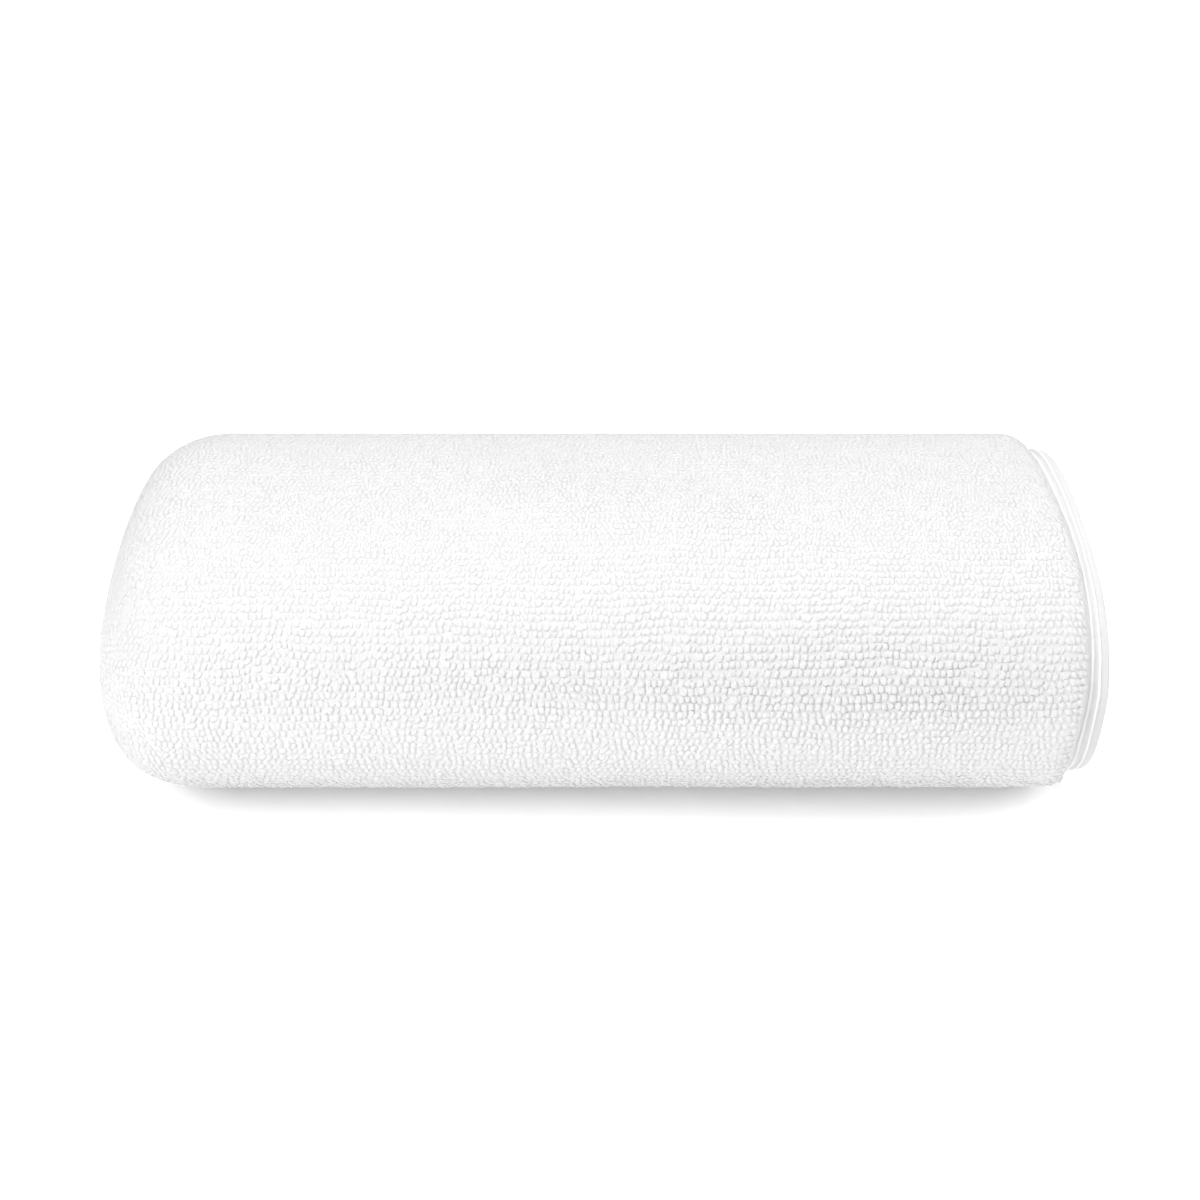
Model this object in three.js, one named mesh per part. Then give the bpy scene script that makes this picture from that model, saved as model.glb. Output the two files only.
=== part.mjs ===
// A terry bath mat, folded in half along its length and rolled up into a soft, slightly flattened roll.
// Millimetres, +Z up. The roll lies along X on the plane z = 0, with its front towards -Y. The fold is
// its end at -X, the two side hems are its end at +X, and the loose end comes down the back.
import * as THREE from 'three';

// The roll
const ROLL_LENGTH = 257.9;
const ROLL_DEPTH = 131.2;
const ROLL_HEIGHT = 78.8;
const REST_SINK = 1.0; // how far the pile under the roll is pressed flat

// The winding: layers of doubled cloth met on the way from the floor to the top
const LAYERS_IN_HEIGHT = 7;
const WOUND_HEIGHT = ROLL_HEIGHT + REST_SINK;
const PITCH = WOUND_HEIGHT / LAYERS_IN_HEIGHT;
const TURN_GAP = 0.4;
const DOUBLED = PITCH - TURN_GAP;
const PLY_GAP = 0.3;
const PLY = (DOUBLED - PLY_GAP) / 2;
const HALF_DEPTH = ROLL_DEPTH / 2;
const WHOLE_TURNS = 3;
const FRONT_MIDDLE = WOUND_HEIGHT / 2; // centre height of the turns' front halves
const BACK_MIDDLE = WHOLE_TURNS * PITCH; // centre height of their back halves
const CORE_DEPTH = WOUND_HEIGHT - BACK_MIDDLE;

// The oval section: exponents of a superellipse, 2 for an ellipse and more for a squarer one
const OVAL_TOP = 2.17;
const OVAL_BOTTOM = 2.3;
const OVAL_CORE = 3.6;
const OVAL_BLEND = 1.5; // how late the section gets squarer on the way in

// The end with the fold: the whole roll rounds over like a dome, and each turn ends in its own fold
const DOME_LENGTH = 26.4;
const DOME_DROP = 24.4;
const DOME_POWER = 2.23;
const DOME_LIMIT = 19.5;
const DOME_STEPS = [0, 8.5, 14]; // from the dome's start to the folds
const FOLD_REACH = 7;
const FOLD_STEPS = 6;
const OUTER_FOLD_TUCK = 0.9; // the outermost fold stops this short of the end
const TUCK_FADE = 0.7; // in turns

// The end with the side hems: flat-woven, thinner than the terry and set in from its face
const HEM_THICK = 2.3;
const HEM_ROUNDING = 0.35;
const SIDE_HEM_SHOWN = 4.2;
const OUTER_HEM_DEPTH = 4.9;
const HEM_GAP = 0.4;
const HEM_ROOT = 0.3; // from the terry's end to where the hem leaves it
const INNER_HEM_STEP = 0.9; // how much shorter the inner hem is
const INNER_EDGE_STEP = 0.6; // how much the inner ply's terry thins beside its hem
const TURN_DRIFT = 1.4; // how far the turns' hems lie in and out of line
const DRIFT_RATE = 2.1; // radians of that drift for each turn

// The two end hems, across the cloth at its loose end and at the core
const END_HEM = 18;
const END_HEM_SHARE = 0.445; // of the terry's thickness
const LOOSE_END_ANGLE = 1.34 * Math.PI;
const CORE_STRIP = 27; // past the middle of the core, where the cloth lies flat
const STEPS_PER_HALF_TURN = 14;
const SHORTEST_STEP = 0.3; // of a whole step, after the loose end's hem

const LEFT_END = -ROLL_LENGTH / 2;
const RIGHT_END = ROLL_LENGTH / 2;

// The terry's edge beside the side hem: how far each point is from the terry's end, and how deep
const TERRY_EDGE = [
  { in: 6.4, depth: 0 },
  { in: 4.0, depth: 0.9 },
  { in: 2.0, depth: 2.1 },
  { in: 0.4, depth: 3.7 },
];

// The cloth near its two ends: distance from the end, and the share of the terry's thickness.
// The loose end shows its flat-woven hem, and the end at the core is hidden in the terry.
const LOOSE_END_STEPS = [
  { along: 0, share: 0.75 * END_HEM_SHARE },
  { along: 0.8, share: END_HEM_SHARE },
  { along: 0.5 * END_HEM, share: END_HEM_SHARE },
  { along: END_HEM - 0.8, share: END_HEM_SHARE },
  { along: END_HEM + 1.2, share: 0.8 },
  { along: END_HEM + 4, share: 1 },
];
const CORE_END_STEPS = [
  { along: 0, share: 0.55 },
  { along: 3, share: 0.77 },
  { along: 7, share: 0.9 },
  { along: 11, share: 1 },
];

// How far the roll's surface has dropped at x, where the end with the fold rounds over.
function domeDrop(x) {
  const along = (LEFT_END + DOME_LENGTH - x) / DOME_LENGTH;
  if (along <= 0) return 0;
  const rise = Math.min(along, 1) ** DOME_POWER;
  return Math.min(DOME_DROP * (1 - (1 - rise) ** (1 / DOME_POWER)), DOME_LIMIT);
}

// The superellipse exponent at a depth under the roll's surface: the turns get squarer to the core.
function ovalPower(depth, upper) {
  const outside = upper ? OVAL_TOP : OVAL_BOTTOM;
  const share = Math.min(Math.max(depth / CORE_DEPTH, 0), 1);
  return outside + (OVAL_CORE - outside) * share ** OVAL_BLEND;
}

// A place in the cloth. turned is the angle along the winding, 0 at the top and growing towards the
// front; within is the depth from the turn's outer face. Each front half joins the top of one turn
// to the bottom of the same turn, and each back half joins that bottom to the top of the next.
function rolledPoint(x, turned, within) {
  const whole = Math.floor(turned / (2 * Math.PI));
  const angle = turned - whole * 2 * Math.PI;
  const back = angle > Math.PI;
  const depth = (back ? whole + 1 : whole) * PITCH + within;
  const cos = Math.cos(angle);
  const sin = Math.sin(angle);
  const toCore = FRONT_MIDDLE + (CORE_DEPTH - FRONT_MIDDLE) * cos;
  const left = (back ? CORE_DEPTH : toCore) - depth;
  const inset = depth + (domeDrop(x) * left) / toCore;
  const middle = back ? BACK_MIDDLE : FRONT_MIDDLE;
  const halfHeight = WOUND_HEIGHT - middle - inset;
  const power = 2 / ovalPower(depth, cos > 0);
  const y = -Math.sign(sin) * (HALF_DEPTH - inset) * Math.abs(sin) ** power;
  const z = middle + Math.sign(cos) * halfHeight * Math.abs(cos) ** power;
  return new THREE.Vector3(x, y, Math.max(z - REST_SINK, 0));
}

// The doubled cloth cut across, as x and the depth from the turn's outer face: two plies a little
// apart. Both chains run from the outer side hem to the inner one, outside goes round the fold and
// inside follows the gap between the plies.
function doubledOutline(foldEnd, hemEnd) {
  const terryEnd = hemEnd - SIDE_HEM_SHOWN;
  const terryFlat = terryEnd - TERRY_EDGE[0].in;
  const domeStart = LEFT_END + DOME_LENGTH;
  const foldMiddle = foldEnd + FOLD_REACH;
  const outer = { end: hemEnd, top: OUTER_HEM_DEPTH };
  const inner = { end: hemEnd - INNER_HEM_STEP, top: OUTER_HEM_DEPTH + HEM_THICK + HEM_GAP };
  const hemTip = ({ end, top }) => ({ x: end, within: top + HEM_THICK / 2 });
  const hemTop = ({ end, top }) => [
    { x: end - HEM_ROUNDING, within: top + HEM_ROUNDING },
    { x: terryEnd + HEM_ROOT, within: top },
  ];
  const hemUnder = ({ end, top }) => [
    { x: end - HEM_ROUNDING, within: top + HEM_THICK - HEM_ROUNDING },
    { x: terryEnd + HEM_ROOT, within: top + HEM_THICK },
  ];

  const outside = [hemTip(outer), ...hemTop(outer)];
  for (const edge of [...TERRY_EDGE].reverse()) outside.push({ x: terryEnd - edge.in, within: edge.depth });
  for (const step of DOME_STEPS) outside.push({ x: domeStart - step, within: 0 });
  for (let step = 0; step <= FOLD_STEPS; step++) {
    const turn = (Math.PI * step) / FOLD_STEPS;
    outside.push({
      x: foldMiddle - FOLD_REACH * Math.sin(turn),
      within: (DOUBLED / 2) * (1 - Math.cos(turn)),
    });
  }
  for (const step of [...DOME_STEPS].reverse()) outside.push({ x: domeStart - step, within: DOUBLED });
  outside.push({ x: terryFlat, within: DOUBLED });
  outside.push({ x: terryEnd - TERRY_EDGE[2].in, within: DOUBLED - INNER_EDGE_STEP });
  outside.push(...hemUnder(inner).reverse(), hemTip(inner));

  const gapSteps = [terryFlat, ...DOME_STEPS.map((step) => domeStart - step), foldMiddle];
  const inside = hemUnder(outer);
  for (const x of gapSteps) inside.push({ x, within: PLY });
  inside.push({ x: foldMiddle - PLY_GAP, within: DOUBLED / 2 });
  for (const x of [...gapSteps].reverse()) inside.push({ x, within: PLY + PLY_GAP });
  inside.push(...hemTop(inner).reverse());
  return { outside, inside };
}

// How far each point of a chain has come from the outer side hem round the fold to the inner one.
function waysRound(chain, foldMiddle) {
  const tip = chain.reduce((best, point, i) => (point.x < chain[best].x ? i : best), 0);
  return chain.map(({ x, within }, i) => {
    if (x < foldMiddle) return within / DOUBLED - foldMiddle;
    return i < tip ? -x : x - 2 * foldMiddle + 1;
  });
}

// The face across the doubled cloth, as corner numbers of the ring that runs along the outside and
// back along the inside: a ladder of triangles whose rungs join points at about the same x.
function ladderFaces(foldEnd, hemEnd) {
  const { outside, inside } = doubledOutline(foldEnd, hemEnd);
  const across = [outside[0], ...inside, outside.at(-1)];
  const ringLength = outside.length + inside.length;
  const acrossCorner = (j) => (ringLength - j) % ringLength;
  const outsideWays = waysRound(outside, foldEnd + FOLD_REACH);
  const acrossWays = waysRound(across, foldEnd + FOLD_REACH);
  const faces = [];
  let i = 0;
  let j = 0;
  while (i + 1 < outside.length || j + 1 < across.length) {
    if ((outsideWays[i + 1] ?? Infinity) <= (acrossWays[j + 1] ?? Infinity)) {
      faces.push([i, i + 1, acrossCorner(j)]);
      i++;
    } else {
      faces.push([i, acrossCorner(j + 1), acrossCorner(j)]);
      j++;
    }
  }
  return faces.filter((face) => new Set(face).size === 3);
}

// Where the cloth is cut across, from the loose end to the core: its angle along the winding, how
// far it has run flat past the core's middle, and its thickness as a share of the terry's.
function clothStations() {
  const looseEnd = LOOSE_END_ANGLE - 2 * Math.PI;
  const coreMiddle = 2 * Math.PI * WHOLE_TURNS;
  const perAngle = (HALF_DEPTH + ROLL_HEIGHT / 2) / 2; // length along the back for one radian
  const stations = LOOSE_END_STEPS.map((step) => ({
    turned: looseEnd + step.along / perAngle,
    run: 0,
    share: step.share,
    pivot: DOUBLED,
  }));
  const stepAngle = Math.PI / STEPS_PER_HALF_TURN;
  const firstStep = Math.ceil(stations.at(-1).turned / stepAngle + SHORTEST_STEP);
  for (let step = firstStep; step * stepAngle <= coreMiddle; step++) {
    stations.push({ turned: step * stepAngle, run: 0, share: 1, pivot: DOUBLED });
  }
  for (const step of [...CORE_END_STEPS].reverse()) {
    stations.push({ turned: coreMiddle, run: CORE_STRIP - step.along, share: step.share, pivot: DOUBLED / 2 });
  }
  return stations;
}

// The body swept along the winding, with a face across each end of the cloth. Each four-cornered
// step is cut the same way seen from outside the roll, so that faces a little apart never cross.
function rolledCloth() {
  const rings = clothStations().map((station) => {
    const turns = Math.max(station.turned / (2 * Math.PI), 0);
    const foldEnd = LEFT_END + OUTER_FOLD_TUCK * Math.exp(-turns / TUCK_FADE);
    const hemEnd = RIGHT_END - TURN_DRIFT * (1 - Math.cos(DRIFT_RATE * turns));
    const { outside, inside } = doubledOutline(foldEnd, hemEnd);
    return [...outside, ...inside.reverse()].map(({ x, within }) => {
      const thinned = station.pivot + (within - station.pivot) * station.share;
      const point = rolledPoint(x, station.turned, thinned);
      point.y -= station.run;
      return point;
    });
  });
  const corners = rings[0].length;
  const positions = rings.flat().flatMap((point) => point.toArray());
  const faces = [];
  for (let ring = 0; ring + 1 < rings.length; ring++) {
    for (let corner = 0; corner < corners; corner++) {
      const next = (corner + 1) % corners;
      const a = ring * corners + corner;
      const b = ring * corners + next;
      const towardsFold = rings[ring][corner].x > rings[ring][next].x;
      if (towardsFold) faces.push(a, b, b + corners, a, b + corners, a + corners);
      else faces.push(a, b, a + corners, b, b + corners, a + corners);
    }
  }
  const lastRing = (rings.length - 1) * corners;
  for (const [a, b, c] of ladderFaces(LEFT_END, RIGHT_END)) {
    faces.push(a, c, b, lastRing + a, lastRing + b, lastRing + c);
  }
  const geometry = new THREE.BufferGeometry();
  geometry.setAttribute('position', new THREE.Float32BufferAttribute(positions, 3));
  geometry.setIndex(faces);
  geometry.computeVertexNormals();
  return geometry;
}

const cotton = new THREE.MeshStandardMaterial({ color: 0xf4f4f2, roughness: 0.95, metalness: 0 });
const mat = new THREE.Mesh(rolledCloth(), cotton);
mat.name = 'rolled_mat';

const bathMat = new THREE.Group();
bathMat.add(mat);

export default bathMat;
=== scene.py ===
"""A white terry bath mat, folded in half along its length and rolled up, lying on a pale floor.

The roll lies along X with its front towards -Y. The doubled cloth's fold is its end at -X, the two
side hems are its end at +X, and the loose end comes down the back. Lengths in the shaping functions
are millimetres, and every finished mesh is in metres.
"""

import math

import bmesh
import bpy
import numpy as np
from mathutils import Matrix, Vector


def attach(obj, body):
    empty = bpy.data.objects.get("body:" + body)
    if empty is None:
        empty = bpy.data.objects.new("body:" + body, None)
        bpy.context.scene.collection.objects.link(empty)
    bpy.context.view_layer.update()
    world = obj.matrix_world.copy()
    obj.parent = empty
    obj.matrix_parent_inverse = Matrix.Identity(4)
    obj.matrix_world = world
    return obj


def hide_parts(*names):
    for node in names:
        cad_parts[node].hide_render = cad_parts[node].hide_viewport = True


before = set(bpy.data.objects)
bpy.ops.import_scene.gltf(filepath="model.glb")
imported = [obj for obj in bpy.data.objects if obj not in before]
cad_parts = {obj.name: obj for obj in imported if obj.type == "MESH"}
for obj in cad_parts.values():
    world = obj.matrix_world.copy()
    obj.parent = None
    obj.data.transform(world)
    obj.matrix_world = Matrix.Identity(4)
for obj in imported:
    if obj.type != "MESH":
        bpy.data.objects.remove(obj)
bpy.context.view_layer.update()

MM = 0.001
HALF_TURN = math.pi
WHOLE_TURN = 2 * math.pi

# The roll, as in the frame
ROLL_LENGTH = 257.9
ROLL_DEPTH = 131.2
ROLL_HEIGHT = 78.8
REST_SINK = 1.0
WOUND_HEIGHT = ROLL_HEIGHT + REST_SINK
PITCH = WOUND_HEIGHT / 7
DOUBLED = PITCH - 0.4
PLY_GAP = 0.3
PLY = (DOUBLED - PLY_GAP) / 2
HALF_DEPTH = ROLL_DEPTH / 2
WHOLE_TURNS = 3
FRONT_MIDDLE = WOUND_HEIGHT / 2
BACK_MIDDLE = WHOLE_TURNS * PITCH
CORE_DEPTH = WOUND_HEIGHT - BACK_MIDDLE
LEFT_END = -ROLL_LENGTH / 2
RIGHT_END = ROLL_LENGTH / 2
LOOSE_END_ANGLE = 1.34 * HALF_TURN
CORE_STRIP = 27.0

# The oval section of the turns: exponents of a superellipse
OVAL_TOP = 2.17
OVAL_BOTTOM = 2.3
OVAL_CORE = 3.6

# The end with the fold
DOME_LENGTH = 26.4
DOME_DROP = 24.4
DOME_POWER = 2.23
DOME_LIMIT = 19.5
FOLD_REACH = 7.0
OUTER_FOLD_TUCK = 0.9
TUCK_FADE = 0.7

# The hems
HEM_THICK = 2.3
SIDE_HEM_SHOWN = 4.2
OUTER_HEM_DEPTH = 4.9
HEM_GAP = 0.4
INNER_HEM_STEP = 0.9
TURN_DRIFT = 1.4
DRIFT_RATE = 2.1
END_HEM = 18.0
END_HEM_SHARE = 0.445
HEM_MAP = 0.008
TERRY_END = RIGHT_END - SIDE_HEM_SHOWN
EDGE_RAMP = 8.0
RIDGES = (2.3, 3.55)
RIDGE_HALF_WIDE = 0.2
RIDGE_FADE = 0.35

# The side hem's face: how far in from its edge, and how far under its own level
HEM_PROFILE = [
    (0.0, 1.15), (0.1, 0.65), (0.35, 0.25), (0.8, 0.1), (1.5, 0.18), (2.0, 0.15), (2.12, -0.2),
    (2.3, -0.38), (2.48, -0.2), (2.6, 0.15), (2.85, 0.3), (3.1, 0.3), (3.26, 0.1), (3.38, -0.22),
    (3.55, -0.4), (3.7, -0.26), (3.84, -0.1), (4.0, -0.3), (4.15, -0.8),
]
# The terry's rounded edge beside it: how far in from the terry's end, and how deep
EDGE_PROFILE = [
    (0.1, 3.8), (0.3, 3.1), (0.7, 2.35), (1.3, 1.7), (2.1, 1.12), (3.0, 0.68), (4.1, 0.33),
    (5.6, 0.1), (8.0, 0.0),
]
# The same edge on the face inside the fold, and how the pile ends in there
INNER_EDGE_PROFILE = [(8.0, 0.0), (5.0, 0.15), (2.5, 0.5), (0.6, 0.95)]
PILE_IN_FOLD = [(3, 1.0), (7, 0.6), (12, 0.0), (20, 0.0), (30, 0.0)]

# The cloth laid flat, in metres, and its mesh
FLAT_WIDTH = 0.51
FLAT_LENGTH = 0.77
TERRY_ROWS = 324
GRID_THICK = 0.01

# The pile: how close its loops are, how big each one is, and how much they differ
ROW_PITCH = 2.02
LOOP_PITCH = 1.65
LOOP_WIDE = 1.84
LOOP_LONG = 2.0
LOOP_HIGH = 2.3
LOOP_ROOT = 0.012
ROOT_SHARE = 0.14
ROW_CLOSENESS = (0.55, 1.05)
SIZE_SPREAD = 0.1
SHAPE_SPREAD = 0.08
LIFT_SPREAD = 0.1
TILT_SPREAD = 0.3
ROW_SPREAD = 0.16
LOOP_SPREAD = 0.18
LEAN = -0.15
EDGE_LEAN = 0.85
GROUND_LOWERED = 0.025
EDGE_TUFT = 0.55
UNDER_TUFT = 0.25
FULL_RELIEF = 0.5
FRAME_STEP = 0.4

# How far the loops stand, down the winding and along the roll
RELIEF = [
    {"half_turns": -0.66, "height": 0.5},
    {"half_turns": -0.35, "height": 0.28},
    {"half_turns": -0.2, "height": 0.01},
    {"half_turns": 0.05, "height": 0.01},
    {"half_turns": 0.12, "height": 0.02},
    {"half_turns": 0.18, "height": 0.05},
    {"half_turns": 0.25, "height": 0.14},
    {"half_turns": 0.32, "height": 0.31},
    {"half_turns": 0.38, "height": 0.46},
    {"half_turns": 0.43, "height": 0.51},
    {"half_turns": 0.49, "height": 0.26},
    {"half_turns": 0.54, "height": 0.09},
    {"half_turns": 0.6, "height": 0.09},
    {"half_turns": 0.66, "height": 0.22},
    {"half_turns": 0.8, "height": 0.5},
    {"half_turns": 6.0, "height": 0.5},
]
RELIEF_ALONG = [
    {"x": -125, "shoulder": 0.12, "front": 0.2},
    {"x": -100, "shoulder": 0.25, "front": 0.45},
    {"x": -86, "shoulder": 0.45, "front": 0.55},
    {"x": -65, "shoulder": 0.7, "front": 0.6},
    {"x": -43, "shoulder": 0.85, "front": 0.68},
    {"x": -21, "shoulder": 0.95, "front": 0.85},
    {"x": 21, "shoulder": 0.95, "front": 1.0},
    {"x": 43, "shoulder": 0.98, "front": 1.18},
    {"x": 65, "shoulder": 1.05, "front": 1.35},
    {"x": 90, "shoulder": 1.05, "front": 1.32},
    {"x": 105, "shoulder": 0.95, "front": 1.15},
    {"x": 116, "shoulder": 0.7, "front": 0.85},
    {"x": 125, "shoulder": 0.35, "front": 0.55},
]

# Where the weight of the roll presses its underside flatter: how far out from the middle, and how
# far down
UNDER_SAG = [
    {"out": 16.0, "down": 0.0},
    {"out": 20.5, "down": 0.3},
    {"out": 24.0, "down": 0.8},
    {"out": 27.3, "down": 1.3},
    {"out": 30.4, "down": 1.8},
    {"out": 32.0, "down": 1.9},
    {"out": 34.9, "down": 1.65},
    {"out": 37.8, "down": 1.05},
    {"out": 40.5, "down": 0.52},
    {"out": 43.1, "down": 0.15},
    {"out": 45.5, "down": 0.0},
]
SAG_FADE = 14.0

# How far the front tucks in just over the floor, more towards the side hems
FRONT_TUCK = [
    {"x": -110.0, "in": 0.0},
    {"x": -60.0, "in": 0.3},
    {"x": 0.0, "in": 1.0},
    {"x": 60.0, "in": 1.7},
    {"x": 110.0, "in": 1.7},
    {"x": 128.0, "in": 0.8},
]
TUCK_HEIGHT = 9.0

# Soft rises on the outer turn: middle, half lengths along the roll and down the winding, and height
SWELLS = [
    {"x": 13.0, "half_turns": 0.085, "long": 38.0, "wide": 0.075, "slope": 0.0008, "high": 1.8},
    {"x": 60.0, "half_turns": 0.44, "long": 52.0, "wide": 0.085, "slope": 0.0, "high": 2.1},
]

# How far the outer turn's terry edge and side hem lie past the straight line, down the front
EDGE_LINE = [
    {"half_turns": -0.5, "terry": 0.0, "hem": 0.0},
    {"half_turns": -0.15, "terry": -3.2, "hem": -0.6},
    {"half_turns": 0.0, "terry": -2.6, "hem": -0.4},
    {"half_turns": 0.1, "terry": -1.3, "hem": -0.2},
    {"half_turns": 0.2, "terry": -0.1, "hem": 0.6},
    {"half_turns": 0.3, "terry": -0.1, "hem": 1.1},
    {"half_turns": 0.45, "terry": -0.6, "hem": 1.2},
    {"half_turns": 0.55, "terry": -2.0, "hem": 0.4},
    {"half_turns": 0.7, "terry": -1.2, "hem": 0.0},
    {"half_turns": 1.3, "terry": 0.0, "hem": 0.0},
]

# Soft unevenness of the terry's surface and of its loops: strength, size of the hills, and seed
SURFACE_HILLS = [(0.34, 31, 5), (0.14, 13, 6), (0.04, 6, 7)]
TILT_HILLS = [(0.5, 5.5, 11), (0.35, 2.6, 12)]
ROW_HILLS = [(0.6, 17, 21), (0.4, 5, 22)]
LOOP_HILLS = [(0.6, 11, 23), (0.35, 3.5, 24)]

# The cotton's tones, and the painted highlight on the hem's ridges
TERRY_TONE = 0.73
GROUND_TONE = 0.72
HEM_TONE = 0.67
# painted highlight: the paler tone painted on the hem's raised ridges, where they catch the light
RIDGE_HIGHLIGHT_TONE = 0.86

# The camera: its height above the floor in degrees, and the place that it looks at
CAMERA_RISE = 30
CAMERA_AWAY = 591
CAMERA_TARGET = (1.45, 0, 38.6)
CAMERA_LENS = 63.66

# The studio: soft round lights, placed by the angle round the roll from its front and the height
FLOOR_SIZE = 8
FLOOR_TONE = 0.96
FLOOR_GLOW = 0.2
LIGHTS = [
    {"name": "front", "round": 0, "rise": 30, "away": 1.3, "size": 1.0, "watts": 1.5},
    {"name": "left_front", "round": -40, "rise": 45, "away": 1.3, "size": 1.0, "watts": 16.2},
    {"name": "right", "round": 90, "rise": 40, "away": 1.3, "size": 1.0, "watts": 10.2},
    {"name": "behind", "round": 180, "rise": 55, "away": 1.3, "size": 1.0, "watts": 8.6},
]

random = np.random.default_rng(41)


def soft_noise(u, v, size, seed):
    """Smooth noise from -1 to 1 over a plane, with hills about one size apart."""
    table = np.random.default_rng(seed).uniform(-1, 1, (64, 64))
    u, v = np.asarray(u) / size + 17.3, np.asarray(v) / size + 9.1
    i, j = np.floor(u).astype(int), np.floor(v).astype(int)
    a, b = u - i, v - j
    a, b = a * a * (3 - 2 * a), b * b * (3 - 2 * b)
    i0, i1, j0, j1 = i % 64, (i + 1) % 64, j % 64, (j + 1) % 64
    low = table[i0, j0] * (1 - a) + table[i1, j0] * a
    high = table[i0, j1] * (1 - a) + table[i1, j1] * a
    return low * (1 - b) + high * b


def layered_noise(hills, u, v):
    """Several soft noises, one on another."""
    return sum(strength * soft_noise(u, v, size, seed) for strength, size, seed in hills)


def smooth_step(low, high, value):
    """0 below low, 1 above high, and a smooth rise between them."""
    t = np.clip((value - low) / (high - low), 0, 1)
    return t * t * (3 - 2 * t)


def column(table, name):
    """One value from each row of a table."""
    return [row[name] for row in table]


# The winding
def dome_drop(x):
    """How far the roll's surface has dropped at x, where the end with the fold rounds over."""
    along = np.clip((LEFT_END + DOME_LENGTH - x) / DOME_LENGTH, 0, 1)
    drop = DOME_DROP * (1 - (1 - along**DOME_POWER) ** (1 / DOME_POWER))
    return np.minimum(drop, DOME_LIMIT)


def rolled(x, turned, within, lowest=0.0):
    """Places in the rolled cloth, from the angle along the winding and the depth in its turn."""
    whole = np.floor(turned / WHOLE_TURN)
    angle = turned - whole * WHOLE_TURN
    back = angle > HALF_TURN
    depth = np.where(back, whole + 1, whole) * PITCH + within
    cos, sin = np.cos(angle), np.sin(angle)
    to_core = FRONT_MIDDLE + (CORE_DEPTH - FRONT_MIDDLE) * cos
    left = np.where(back, CORE_DEPTH, to_core) - depth
    inset = depth + dome_drop(x) * left / to_core
    middle = np.where(back, BACK_MIDDLE, FRONT_MIDDLE)
    outside = np.where(cos > 0, OVAL_TOP, OVAL_BOTTOM)
    squarer = np.clip(depth / CORE_DEPTH, 0, 1) ** 1.5
    power = 2 / (outside + (OVAL_CORE - outside) * squarer)
    y = -np.sign(sin) * (HALF_DEPTH - inset) * np.abs(sin) ** power
    z = middle + np.sign(cos) * (WOUND_HEIGHT - middle - inset) * np.abs(cos) ** power - REST_SINK
    sag = np.interp(np.abs(y), column(UNDER_SAG, "out"), column(UNDER_SAG, "down"))
    z = z - sag * np.exp(-np.maximum(z, 0) / SAG_FADE)
    tuck = np.interp(x + 0 * y, column(FRONT_TUCK, "x"), column(FRONT_TUCK, "in"))
    y = y + tuck * np.exp(-((z / TUCK_HEIGHT) ** 2)) * smooth_step(12, 34, -y)
    return np.stack([x + 0 * y, y, np.maximum(z, lowest)], -1)


def wind_up():
    """Tables of the angle along the winding against the way along the cloth's outer face."""
    turned = np.linspace(LOOSE_END_ANGLE - WHOLE_TURN, WHOLE_TURN * WHOLE_TURNS, 12001)
    path = rolled(np.zeros_like(turned), turned, np.zeros_like(turned), -99)
    steps = np.linalg.norm(np.diff(path, axis=0), axis=1)
    steps[steps > 2] = 0
    return np.concatenate([[0], np.cumsum(steps)]), turned


WAY, TURNED = wind_up()
WOUND_WAY = WAY[-1]
WHOLE_WAY = WOUND_WAY + CORE_STRIP
COVERED_WAY = np.interp(LOOSE_END_ANGLE, TURNED, WAY)


# The doubled cloth, cut across
def face_across():
    """The outer face of the doubled cloth cut across, from one side hem round the fold to the other:
    x, depth, and how far its pile may stand, for close points along it."""
    points = []
    for inward, sunk in HEM_PROFILE:
        points.append((RIGHT_END - inward, OUTER_HEM_DEPTH + sunk, 0.0))
    for inward, depth in EDGE_PROFILE:
        points.append((TERRY_END - inward, depth, 1.0))
    for x in np.linspace(TERRY_END - 12, LEFT_END + DOME_LENGTH, 36):
        points.append((x, 0.0, 1.0))
    for x in np.linspace(LEFT_END + DOME_LENGTH, LEFT_END + FOLD_REACH, 11)[1:-1]:
        points.append((x, 0.0, 1.0))
    for turn in np.linspace(0, HALF_TURN, 13):
        x = LEFT_END + FOLD_REACH * (1 - math.sin(turn))
        points.append((x, DOUBLED / 2 * (1 - math.cos(turn)), 1.0))
    for step, pile in PILE_IN_FOLD:
        points.append((LEFT_END + FOLD_REACH + step, DOUBLED, pile))
    for x in np.linspace(LEFT_END + FOLD_REACH + 40, TERRY_END - 12, 10):
        points.append((x, DOUBLED, 0.0))
    for inward, depth in INNER_EDGE_PROFILE:
        points.append((TERRY_END - inward, DOUBLED - depth, 0.0))
    inner_end = RIGHT_END - INNER_HEM_STEP
    inner_top = OUTER_HEM_DEPTH + HEM_THICK + HEM_GAP
    for inward, sunk in reversed(HEM_PROFILE):
        points.append((inner_end - inward, inner_top + HEM_THICK - sunk, 0.0))
    return np.array(points)


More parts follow.
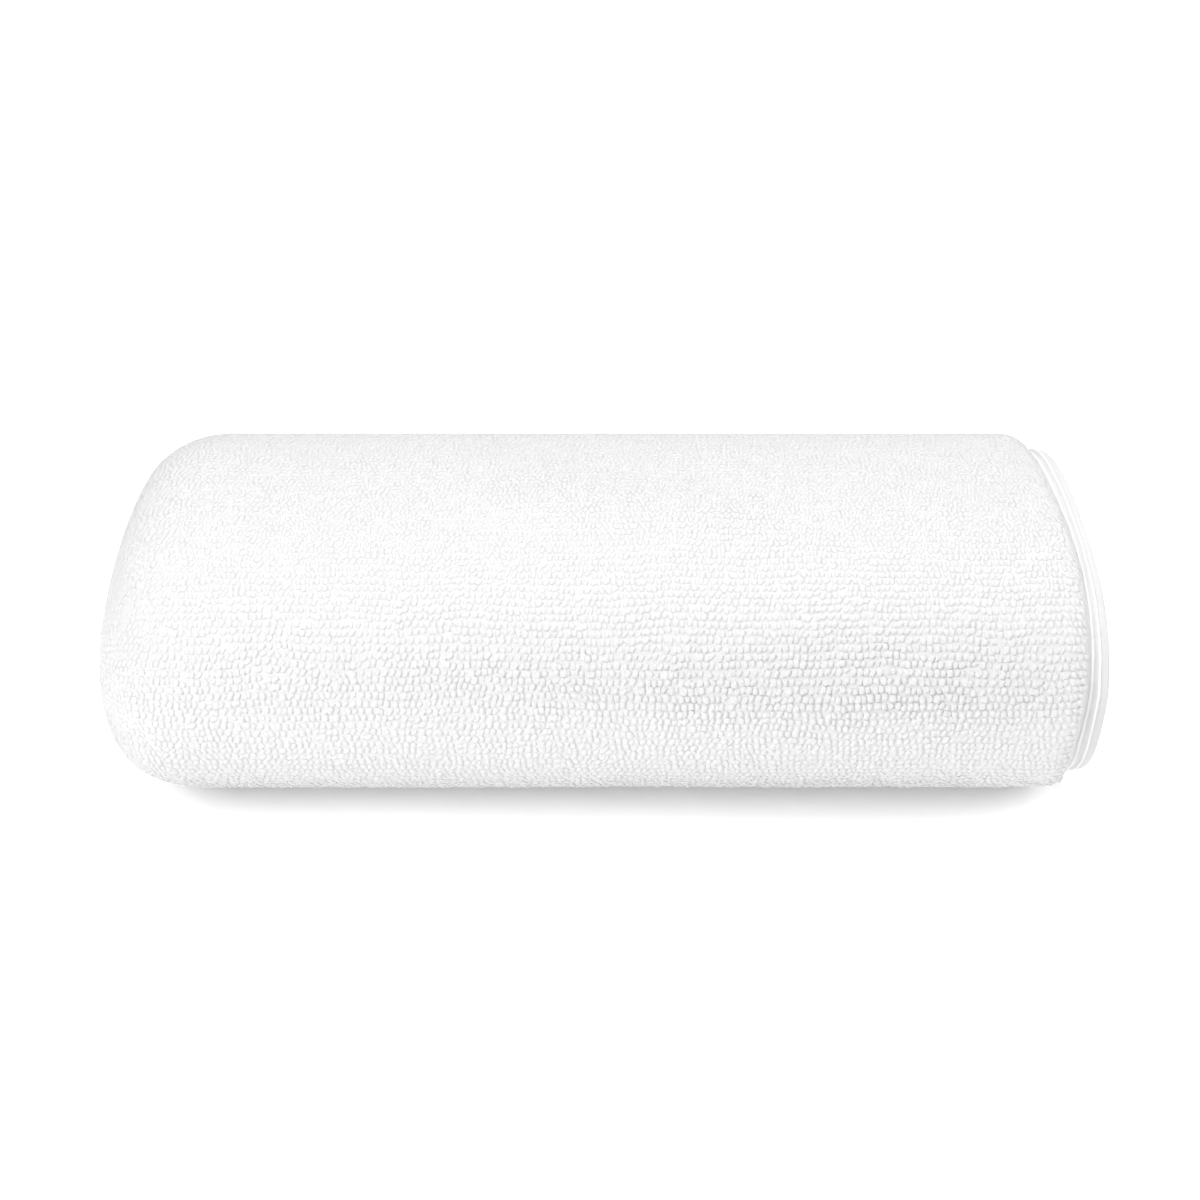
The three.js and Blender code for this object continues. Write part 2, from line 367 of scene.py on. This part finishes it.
def inner_across(outer):
    """The hidden face of the cloth cut across, point by point under the outer face."""
    x, depth = outer[:, 0].copy(), outer[:, 1].copy()
    fold_middle = LEFT_END + FOLD_REACH
    first = np.arange(len(x)) <= np.argmin(x)
    hem = x > TERRY_END
    in_fold = x < fold_middle
    terry = ~hem & ~in_fold
    close = smooth_step(0, EDGE_RAMP, TERRY_END - x)
    hem_under = OUTER_HEM_DEPTH + HEM_THICK
    hem_top = hem_under + HEM_GAP
    depth[terry & first] = (hem_under + (PLY - hem_under) * close)[terry & first]
    depth[terry & ~first] = (hem_top + (PLY + PLY_GAP - hem_top) * close)[terry & ~first]
    depth[hem & first] = 2 * OUTER_HEM_DEPTH + HEM_THICK - outer[hem & first, 1]
    depth[hem & ~first] = 2 * hem_top + HEM_THICK - outer[hem & ~first, 1]
    depth[0], depth[-1] = OUTER_HEM_DEPTH + 1.45, hem_top + 0.85
    share = PLY_GAP / DOUBLED
    depth[in_fold] = DOUBLED / 2 + (outer[in_fold, 1] - DOUBLED / 2) * share
    x[in_fold] = fold_middle + (outer[in_fold, 0] - fold_middle) * share
    return np.stack([x, depth], -1)


OUTER = face_across()
INNER = inner_across(OUTER)


def outward_normals(points):
    """Directions in the cut, x and depth, that point out of the cloth's outer face."""
    along = np.gradient(points[:, :2], axis=0)
    normal = np.stack([-along[:, 1], along[:, 0]], -1)
    return normal / np.linalg.norm(normal, axis=1, keepdims=True)


OUTWARD = outward_normals(OUTER)
ACROSS = np.concatenate([[0], np.cumsum(np.linalg.norm(np.diff(OUTER[:, :2], axis=0), axis=1))])


def end_shift(x, way):
    """How far the folds and the side hems lie in or out of line, turn by turn."""
    half_turns = np.interp(way, WAY, TURNED) / HALF_TURN
    turns = np.maximum(half_turns / 2, 0)
    tuck = OUTER_FOLD_TUCK * np.exp(-turns / TUCK_FADE)
    drift = TURN_DRIFT * (1 - np.cos(DRIFT_RATE * turns))
    terry = np.interp(half_turns, column(EDGE_LINE, "half_turns"), column(EDGE_LINE, "terry"))
    hem = np.interp(half_turns, column(EDGE_LINE, "half_turns"), column(EDGE_LINE, "hem"))
    in_hem = smooth_step(TERRY_END - 1, RIGHT_END - 1.2, x)
    edge = terry + (hem - terry) * in_hem - drift
    at_fold = 1 - smooth_step(LEFT_END + 10, LEFT_END + 40, x)
    return tuck * at_fold + edge * smooth_step(RIGHT_END - 45, RIGHT_END - 12, x)


def thinned(within, way):
    """The depth where the cloth is thinner, at the loose end's hem and at the end in the core."""
    from_loose = [0, 0.5, 1.0, END_HEM - 1.2, END_HEM + 0.4, END_HEM + 2.2, END_HEM + 5]
    loose = [0.24, 0.4, END_HEM_SHARE, END_HEM_SHARE, 0.62, 0.86, 1]
    from_core = [0, 3, 7, 11]
    core = [0.55, 0.77, 0.9, 1]
    share = np.interp(way, from_loose, loose)
    core_share = np.interp(WHOLE_WAY - way, from_core, core)
    within = DOUBLED + (within - DOUBLED) * share
    return DOUBLED / 2 + (within - DOUBLED / 2) * core_share


def relief(x, way):
    """How far the loops' crowns stand over the cloth's own face: least on the top, most low down on
    the front, and more towards the side hems."""
    half_turns = np.interp(way, WAY, TURNED) / HALF_TURN
    height = np.interp(half_turns, column(RELIEF, "half_turns"), column(RELIEF, "height"))
    shoulder = np.interp(x, column(RELIEF_ALONG, "x"), column(RELIEF_ALONG, "shoulder"))
    front = np.interp(x, column(RELIEF_ALONG, "x"), column(RELIEF_ALONG, "front"))
    return height * (shoulder + (front - shoulder) * smooth_step(0.2, 0.36, half_turns))


def tufts(x, way):
    """How far single loops may stand out past the rest: at the terry's edge and low down."""
    half_turns = np.interp(way, WAY, TURNED) / HALF_TURN
    low_down = smooth_step(0.6, 0.7, half_turns) * (1 - smooth_step(0.88, 0.98, half_turns))
    at_edge = smooth_step(TERRY_END - 4.5, TERRY_END - 1.5, x) * smooth_step(0.2, 0.42, half_turns)
    return EDGE_TUFT * at_edge + UNDER_TUFT * low_down


def swelling(x, way):
    """The soft rises of the outer turn, where the cloth doesn't lie tight."""
    half_turns = np.interp(way, WAY, TURNED) / HALF_TURN
    rise = np.zeros(np.broadcast(x, way).shape)
    for swell in SWELLS:
        along = (x - swell["x"]) / swell["long"]
        down = (half_turns - swell["half_turns"] - swell["slope"] * (x - swell["x"])) / swell["wide"]
        rise = rise + swell["high"] * np.exp(-(along**4) - down**2)
    return rise


def pile_room(x, way, pile_share, outer_ply):
    """How deep the pile stands over the cloth's own face at places of the cloth."""
    shown = 1 - smooth_step(COVERED_WAY - 2, COVERED_WAY + 4, way)
    terry = smooth_step(END_HEM - 0.5, END_HEM + 2.5, way)
    return relief(x, way) * pile_share * terry * np.maximum(shown, 1 - outer_ply)


def in_roll(x, way, within, lowest):
    """Places in the roll, in millimetres, from the way along the cloth."""
    turned = np.interp(way, WAY, TURNED)
    place = rolled(x + end_shift(x, way), turned, thinned(within, way), lowest)
    place[..., 1] -= np.maximum(way - WOUND_WAY, 0)
    return place


def ground(across, way, lowest=0.35, lowered=0.0):
    """Places on the cloth's own face, under its pile."""
    x = np.interp(across, ACROSS, OUTER[:, 0])
    within = np.interp(across, ACROSS, OUTER[:, 1])
    pile = np.interp(across, ACROSS, OUTER[:, 2])
    out_x = np.interp(across, ACROSS, OUTWARD[:, 0])
    out_depth = np.interp(across, ACROSS, OUTWARD[:, 1])
    flat = smooth_step(-118, -106, x) * (1 - smooth_step(112, 120, x)) * (within < DOUBLED / 2)
    room = pile_room(x, way, pile, flat) + lowered * pile
    in_pile = smooth_step(0, 0.5, pile)
    uneven = layered_noise(SURFACE_HILLS, across, way) * in_pile * smooth_step(0, 1, room)
    swell = swelling(x, way) * (within < DOUBLED / 4) * in_pile
    by_ridges = smooth_step(RIGHT_END - 4.1, RIGHT_END - 3.7, x)
    by_ridges = by_ridges * (1 - smooth_step(RIGHT_END - 1.4, RIGHT_END - 0.8, x))
    stray = 0.08 * soft_noise(way, 0 * way, 7, 31) + 0.07 * soft_noise(way, 3 * x, 4.6, 32)
    x = x + by_ridges * stray - room * out_x
    within = within - room * out_depth - uneven * np.sign(-out_depth) - swell
    return in_roll(x, way, within, lowest)


# Blender helpers
def alone(obj):
    """Selects one object and makes it the active one."""
    bpy.ops.object.select_all(action="DESELECT")
    obj.select_set(True)
    bpy.context.view_layer.objects.active = obj


def mesh_points(mesh):
    """The places of a mesh's points, one row each."""
    points = np.empty(len(mesh.vertices) * 3)
    mesh.vertices.foreach_get("co", points)
    return points.reshape(-1, 3)


# The cloth
def cloth_rows():
    """How far along the cloth the rows of its mesh are, closest at the loose end's hem."""
    return np.concatenate(
        [
            [0, 0.35, 1.0, 3.0],
            np.linspace(6, END_HEM - 2, 5),
            [END_HEM - 0.8, END_HEM + 0.6, END_HEM + 2.0, END_HEM + 3.5, END_HEM + 5.5],
            np.linspace(END_HEM + 8, WOUND_WAY, TERRY_ROWS),
            WOUND_WAY + np.array([5, 10, 16, 20, 24, CORE_STRIP]),
        ]
    )


def make_cloth():
    """The whole cloth as a closed sheet: a flat grid given its thickness, folded and rolled."""
    stations = len(OUTER)
    ways = cloth_rows()
    bpy.ops.object.select_all(action="DESELECT")
    bpy.ops.mesh.primitive_grid_add(
        x_subdivisions=stations - 1, y_subdivisions=len(ways) - 1, size=1
    )
    cloth = bpy.context.object
    cloth.name = "terry_cloth"
    thickness = cloth.modifiers.new("thickness", "SOLIDIFY")
    thickness.thickness = GRID_THICK
    thickness.offset = -1
    alone(cloth)
    bpy.ops.object.modifier_apply(modifier="thickness")
    points = mesh_points(cloth.data)
    station = np.rint((points[:, 0] + 0.5) * (stations - 1)).astype(int)
    step = np.rint((points[:, 1] + 0.5) * (len(ways) - 1)).astype(int)
    outer = points[:, 2] > -GRID_THICK / 2
    way = ways[step]
    place = np.where(
        outer[:, None],
        ground(ACROSS[station], way, lowered=GROUND_LOWERED),
        in_roll(INNER[station, 0], way, INNER[station, 1], 0.5),
    )
    cloth.data.vertices.foreach_set("co", (place * MM).ravel())
    layer = cloth.data.uv_layers.active or cloth.data.uv_layers.new(name="cloth")
    layer.name = "cloth"
    corner = np.empty(len(cloth.data.loops), int)
    cloth.data.loops.foreach_get("vertex_index", corner)
    flat = np.stack([ACROSS[station] / ACROSS[-1] * FLAT_WIDTH, way / WHOLE_WAY * FLAT_LENGTH], -1)
    layer.data.foreach_set("uv", flat[corner].ravel())
    cloth.data.update()
    bpy.ops.object.mode_set(mode="EDIT")
    bpy.ops.mesh.select_all(action="SELECT")
    bpy.ops.mesh.normals_make_consistent(inside=False)
    bpy.ops.object.mode_set(mode="OBJECT")
    bpy.ops.object.shade_smooth()
    return cloth


# The loops
def make_loop(name, bend, blunt):
    """One loop of the pile as a low grain, with its length along Y. Its shoulders are moved to one
    side by the bend, and towards its tips to make them blunt."""
    bpy.ops.object.select_all(action="DESELECT")
    bpy.ops.mesh.primitive_uv_sphere_add(segments=6, ring_count=3, radius=0.5)
    grain = bpy.context.object
    grain.name = name
    bpy.ops.object.mode_set(mode="EDIT")
    bpy.ops.mesh.select_all(action="SELECT")
    bpy.ops.transform.rotate(value=HALF_TURN / 2, orient_axis="X", center_override=(0, 0, 0))
    for side in (-1, 1):
        shape = bmesh.from_edit_mesh(grain.data)
        for vert in shape.verts:
            vert.select = 0.1 < side * vert.co.y < 0.4
        shape.select_flush_mode()
        bmesh.update_edit_mesh(grain.data)
        bpy.ops.transform.translate(value=(bend, side * blunt, 0))
    bpy.ops.object.mode_set(mode="OBJECT")
    return grain


def varied(count, spread):
    """Factors about 1, each a little off at random and none far off."""
    return 1 + spread * random.standard_normal(count).clip(-2, 2)


def cloth_frames(across, way):
    """Places on the cloth with the directions across it, along it and out of it, and how close its
    rows lie there."""
    here = ground(across, way, 0.3)
    side = ground(across + FRAME_STEP, way, 0.3) - ground(across - FRAME_STEP, way, 0.3)
    along = ground(across, way + FRAME_STEP, 0.3) - ground(across, way - FRAME_STEP, 0.3)
    closeness = np.linalg.norm(along, axis=1) / (2 * FRAME_STEP)
    side /= np.linalg.norm(side, axis=1, keepdims=True)
    up = np.cross(side, along)
    up /= np.linalg.norm(up, axis=1, keepdims=True)
    return here, side, np.cross(up, side), up, closeness


def face_corners(mesh):
    """The corners of each face, with -1 for the fourth where a face has three."""
    return np.array([list(f.vertices) + [-1] * (4 - len(f.vertices)) for f in mesh.polygons])


def lay_loops(name, grains, across, way):
    """One mesh of loops, standing on the cloth at places given across it and along it."""
    count = len(across)
    here, side, along, up, closeness = cloth_frames(across, way)
    x = np.interp(across, ACROSS, OUTER[:, 0])
    tilt = LEAN + EDGE_LEAN * smooth_step(TERRY_END - 9, TERRY_END - 2, x)
    tilt = tilt + TILT_SPREAD * random.standard_normal(count)
    tilt = tilt + layered_noise(TILT_HILLS, across, way)
    cos, sin = np.cos(tilt)[:, None], np.sin(tilt)[:, None]
    crown = relief(x, way) + tufts(x, way) * random.uniform(0, 1, count)
    wide_way = side * cos + along * sin
    long_way = along * cos - side * sin
    size = varied(count, SIZE_SPREAD)
    wide = LOOP_WIDE * size * varied(count, SHAPE_SPREAD)
    long = LOOP_LONG * size * closeness.clip(*ROW_CLOSENESS)
    root = LOOP_ROOT + ROOT_SHARE * crown
    high = LOOP_HIGH * (crown + root) * varied(count, SHAPE_SPREAD)
    lift = -root + LIFT_SPREAD * crown * random.standard_normal(count).clip(-2, 2)
    kinds = random.integers(0, len(grains), count)
    standing = np.clip(crown / FULL_RELIEF, 0, 1)
    points, faces, flat, stands, start = [], [], [], [], 0
    for kind, grain in enumerate(grains):
        chosen = kinds == kind
        shape = mesh_points(grain.data)
        corners = face_corners(grain.data)
        local = (
            shape[None, :, 0:1] * (wide_way * wide[:, None])[chosen][:, None]
            + shape[None, :, 1:2] * (long_way * long[:, None])[chosen][:, None]
            + shape[None, :, 2:3] * (up * high[:, None])[chosen][:, None]
        )
        place = (here + up * lift[:, None])[chosen][:, None] + local
        offsets = start + np.arange(chosen.sum()) * len(shape)
        numbered = np.where(corners[None] < 0, -1, corners[None] + offsets[:, None, None])
        points.append(place.reshape(-1, 3))
        faces.append(numbered.reshape(-1, 4))
        flat.append(np.tile(shape[:, :2] + 0.5, (chosen.sum(), 1)))
        stands.append(np.repeat(standing[chosen], len(shape)))
        start += chosen.sum() * len(shape)
    points, faces = np.concatenate(points), np.concatenate(faces)
    points[:, 2] = np.maximum(points[:, 2], 0.02)
    return joined_mesh(name, points * MM, faces, np.concatenate(flat), np.concatenate(stands))


def joined_mesh(name, points, faces, flat, standing):
    """One mesh from arrays of points and of three- or four-cornered faces, with each loop's own map
    and how far the loop stands."""
    mesh = bpy.data.meshes.new(name)
    sizes = (faces >= 0).sum(1)
    corners = faces[faces >= 0]
    mesh.vertices.add(len(points))
    mesh.vertices.foreach_set("co", points.ravel())
    mesh.loops.add(len(corners))
    mesh.loops.foreach_set("vertex_index", corners)
    mesh.polygons.add(len(faces))
    mesh.polygons.foreach_set("loop_start", np.concatenate([[0], np.cumsum(sizes)[:-1]]))
    mesh.update(calc_edges=True)
    mesh.validate()
    mesh.uv_layers.new(name="loop").data.foreach_set("uv", flat[corners].ravel())
    mesh.attributes.new("standing", "FLOAT", "POINT").data.foreach_set("value", standing)
    mesh.polygons.foreach_set("use_smooth", np.ones(len(faces), bool))
    piece = bpy.data.objects.new(name, mesh)
    bpy.context.collection.objects.link(piece)
    return piece


def loop_places():
    """Where the loops stand, across the cloth and along it, row by row."""
    first = np.interp(TERRY_END - 0.7, OUTER[:60, 0][::-1], ACROSS[:60][::-1])
    fold_end = ACROSS[np.argmin(OUTER[:, 0]) + 9]
    close = np.linspace(first, fold_end, 3000)
    line = ground(close, np.full_like(close, np.interp(HALF_TURN / 2, TURNED, WAY)), -99)
    reach = np.concatenate([[0], np.cumsum(np.linalg.norm(np.diff(line, axis=0), axis=1))])
    across_all, way_all = [], []
    for way in np.arange(END_HEM + 1.6, WHOLE_WAY - 4, ROW_PITCH):
        steps = np.arange(random.uniform(0, 1) * LOOP_PITCH, reach[-1], LOOP_PITCH)
        across = np.interp(steps, reach, close)
        if way >= COVERED_WAY - 0.5:
            x = np.interp(across, ACROSS, OUTER[:, 0])
            across = across[(x < LEFT_END + 12) | (x > TERRY_END - 6.5)]
        across_all.append(across)
        way_all.append(np.full_like(across, way))
    across, way = np.concatenate(across_all), np.concatenate(way_all)
    wander = layered_noise(ROW_HILLS, across, way)
    drift = layered_noise(LOOP_HILLS, across, way)
    way = way + wander + ROW_SPREAD * random.standard_normal(len(way))
    across = across + drift + LOOP_SPREAD * random.standard_normal(len(across))
    return np.clip(across, first, fold_end), way


def make_pile():
    """The loops in six meshes: four parts of the outer turn, and the two ends of the roll."""
    grains = [
        make_loop("loop_straight", 0.0, 0.12),
        make_loop("loop_left", -0.08, 0.1),
        make_loop("loop_right", 0.08, 0.11),
    ]
    across, way = loop_places()
    x = np.interp(across, ACROSS, OUTER[:, 0])
    at_end = (way > COVERED_WAY - 0.5) | (x < LEFT_END + 5)
    quarter = np.floor(4 * way / COVERED_WAY).astype(int)
    regions = {
        "pile_over_back": ~at_end & (quarter == 0),
        "pile_top": ~at_end & (quarter == 1),
        "pile_front": ~at_end & (quarter == 2),
        "pile_under_back": ~at_end & (quarter >= 3),
        "pile_fold_end": at_end & (x < 0),
        "pile_hem_end": at_end & (x >= 0),
    }
    pieces = []
    for name, chosen in regions.items():
        pieces.append(lay_loops(name, grains, across[chosen], way[chosen]))
    for grain in grains:
        bpy.data.objects.remove(grain)
    return pieces


# Materials
def grey(tone):
    """A neutral colour of one tone."""
    return (tone, tone, tone, 1)


def new_material(name):
    """A material with nodes, and its surface shader."""
    material = bpy.data.materials.new(name)
    material.use_nodes = True
    return material, material.node_tree.nodes["Principled BSDF"]


def white_cotton(name, tone, fibre_scale, bump_depth):
    """Matte white cotton, with soft changes of tone and fine fibres raised as bump."""
    material, shader = new_material(name)
    nodes, links = material.node_tree.nodes, material.node_tree.links
    shader.inputs["Roughness"].default_value = 0.92
    shader.inputs["Specular IOR Level"].default_value = 0.2
    shader.inputs["Sheen Weight"].default_value = 0.2
    shader.inputs["Sheen Roughness"].default_value = 0.6
    coordinates = nodes.new("ShaderNodeTexCoord")
    patches = nodes.new("ShaderNodeTexNoise")
    patches.inputs["Scale"].default_value = 210
    patches.inputs["Detail"].default_value = 3
    links.new(coordinates.outputs["Object"], patches.inputs["Vector"])
    tones = nodes.new("ShaderNodeValToRGB")
    tones.color_ramp.elements[0].position = 0.3
    tones.color_ramp.elements[0].color = grey(tone * 0.975)
    tones.color_ramp.elements[1].position = 0.7
    tones.color_ramp.elements[1].color = grey(tone)
    links.new(patches.outputs["Fac"], tones.inputs["Fac"])
    links.new(tones.outputs["Color"], shader.inputs["Base Color"])
    fibres = nodes.new("ShaderNodeTexNoise")
    fibres.inputs["Scale"].default_value = fibre_scale
    fibres.inputs["Detail"].default_value = 2
    links.new(coordinates.outputs["Object"], fibres.inputs["Vector"])
    bump = nodes.new("ShaderNodeBump")
    bump.inputs["Strength"].default_value = 0.5
    bump.inputs["Distance"].default_value = bump_depth
    links.new(fibres.outputs["Fac"], bump.inputs["Height"])
    links.new(bump.outputs["Normal"], shader.inputs["Normal"])
    return material


def add_yarn_twist(material):
    """The two twisted threads of each loop's yarn, as bump that fades where the loops lie flat."""
    nodes, links = material.node_tree.nodes, material.node_tree.links
    loop_map = nodes.new("ShaderNodeUVMap")
    loop_map.uv_map = "loop"
    twist = nodes.new("ShaderNodeTexWave")
    twist.bands_direction = "DIAGONAL"
    twist.inputs["Scale"].default_value = 1.5
    twist.inputs["Distortion"].default_value = 1.0
    links.new(loop_map.outputs["UV"], twist.inputs["Vector"])
    standing = nodes.new("ShaderNodeAttribute")
    standing.attribute_name = "standing"
    bump = nodes["Bump"]
    twist_bump = nodes.new("ShaderNodeBump")
    twist_bump.inputs["Distance"].default_value = 0.00006
    links.new(standing.outputs["Fac"], twist_bump.inputs["Strength"])
    links.new(twist.outputs["Fac"], twist_bump.inputs["Height"])
    links.new(bump.outputs["Normal"], twist_bump.inputs["Normal"])
    links.new(twist_bump.outputs["Normal"], nodes["Principled BSDF"].inputs["Normal"])


def add_hem_weave_and_ridge_highlight(material, ridges):
    """Stitched ridges on the hems painted paler, a painted highlight where they catch the light, and
    fine cross ribs as bump, placed by the flat cloth's own map.
    """
    nodes, links = material.node_tree.nodes, material.node_tree.links
    shader = nodes["Principled BSDF"]
    cloth_map = nodes.new("ShaderNodeUVMap")
    cloth_map.uv_map = "cloth"
    parts = nodes.new("ShaderNodeSeparateXYZ")
    links.new(cloth_map.outputs["UV"], parts.inputs["Vector"])
    across = nodes.new("ShaderNodeMapRange")
    across.inputs["From Max"].default_value = HEM_MAP
    links.new(parts.outputs["X"], across.inputs["Value"])
    stripes = nodes.new("ShaderNodeValToRGB")
    ramp = stripes.color_ramp
    ramp.elements[0].color = grey(HEM_TONE)
    ramp.elements[1].color = grey(GROUND_TONE)
    ramp.elements.new(0.56).color = grey(GROUND_TONE)
    ramp.elements.new(0.5).color = grey(HEM_TONE)
    # painted highlight: each raised ridge is painted paler than the hem around it
    stripe = (
        (-RIDGE_FADE, HEM_TONE),
        (-RIDGE_HALF_WIDE, RIDGE_HIGHLIGHT_TONE),
        (RIDGE_HALF_WIDE, RIDGE_HIGHLIGHT_TONE),
        (RIDGE_FADE, HEM_TONE),
    )
    for ridge in ridges:
        for offset, tone in stripe:
            ramp.elements.new((ridge + offset) * MM / HEM_MAP).color = grey(tone)
    links.new(across.outputs["Result"], stripes.inputs["Fac"])
    links.new(stripes.outputs["Color"], shader.inputs["Base Color"])
    ribs = nodes.new("ShaderNodeTexWave")
    ribs.bands_direction = "Y"
    ribs.inputs["Scale"].default_value = 520
    ribs.inputs["Distortion"].default_value = 1.2
    links.new(cloth_map.outputs["UV"], ribs.inputs["Vector"])
    bump = nodes["Bump"]
    ribs_bump = nodes.new("ShaderNodeBump")
    ribs_bump.inputs["Strength"].default_value = 0.5
    ribs_bump.inputs["Distance"].default_value = 0.00006
    links.new(ribs.outputs["Fac"], ribs_bump.inputs["Height"])
    links.new(bump.outputs["Normal"], ribs_bump.inputs["Normal"])
    links.new(ribs_bump.outputs["Normal"], shader.inputs["Normal"])


def floor_finish():
    """A matte pale floor that glows slightly."""
    material, shader = new_material("pale_floor")
    shader.inputs["Base Color"].default_value = grey(FLOOR_TONE)
    shader.inputs["Roughness"].default_value = 0.9
    shader.inputs["Specular IOR Level"].default_value = 0.0
    shader.inputs["Emission Color"].default_value = (1, 1, 1, 1)
    shader.inputs["Emission Strength"].default_value = FLOOR_GLOW
    return material


# Camera, light and floor
def make_camera():
    """The photograph's viewing angle: 30 degrees above the floor, square on to the roll."""
    rise = math.radians(CAMERA_RISE)
    target = Vector(CAMERA_TARGET) * MM
    away = CAMERA_AWAY * MM
    camera = bpy.data.objects.new("camera", bpy.data.cameras.new("camera"))
    bpy.context.collection.objects.link(camera)
    camera.location = target + Vector((0, -math.cos(rise), math.sin(rise))) * away
    camera.rotation_euler = (HALF_TURN / 2 - rise, 0, 0)
    camera.data.sensor_width = 36
    camera.data.lens = CAMERA_LENS
    camera.data.clip_start = 0.01
    bpy.context.scene.camera = camera


def make_light(light):
    """One soft round lamp, turned to the roll."""
    lamp = bpy.data.lights.new(light["name"], "AREA")
    lamp.shape = "DISK"
    lamp.size = light["size"]
    lamp.energy = light["watts"]
    piece = bpy.data.objects.new(light["name"], lamp)
    bpy.context.collection.objects.link(piece)
    turn, rise = math.radians(light["round"]), math.radians(light["rise"])
    flat = math.cos(rise)
    toward = Vector((math.sin(turn) * flat, -math.cos(turn) * flat, math.sin(rise)))
    piece.location = toward * light["away"]
    piece.rotation_euler = toward.to_track_quat("Z", "Y").to_euler()


def make_studio():
    """The lamps and the floor, with no light from the sky."""
    world = bpy.data.worlds.new("studio")
    bpy.context.scene.world = world
    world.use_nodes = True
    world.node_tree.nodes["Background"].inputs["Strength"].default_value = 0
    for light in LIGHTS:
        make_light(light)
    bpy.ops.object.select_all(action="DESELECT")
    bpy.ops.mesh.primitive_plane_add(size=FLOOR_SIZE)
    floor = bpy.context.object
    floor.name = "floor"
    floor.data.materials.append(floor_finish())
    bpy.context.scene.view_settings.view_transform = "Standard"
    bpy.context.scene.view_settings.look = "None"


make_camera()
make_studio()
cloth = make_cloth()
pile = make_pile()

ground_cotton = white_cotton("woven_cotton", GROUND_TONE, fibre_scale=1500, bump_depth=0.00012)
pile_cotton = white_cotton("terry_cotton", TERRY_TONE, fibre_scale=2600, bump_depth=0.00003)
add_yarn_twist(pile_cotton)
# where the hem's ridges lie, for their painted highlight
ridge_places = [RIGHT_END - ridge for ridge in RIDGES]
ridge_across = np.interp(ridge_places, OUTER[:30, 0][::-1], ACROSS[:30][::-1])
add_hem_weave_and_ridge_highlight(ground_cotton, ridge_across * FLAT_WIDTH / MM / ACROSS[-1])
cloth.data.materials.append(ground_cotton)
for piece in pile:
    piece.data.materials.append(pile_cotton)

for piece in [cloth, *pile]:
    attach(piece, "root")
    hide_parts("rolled_mat")
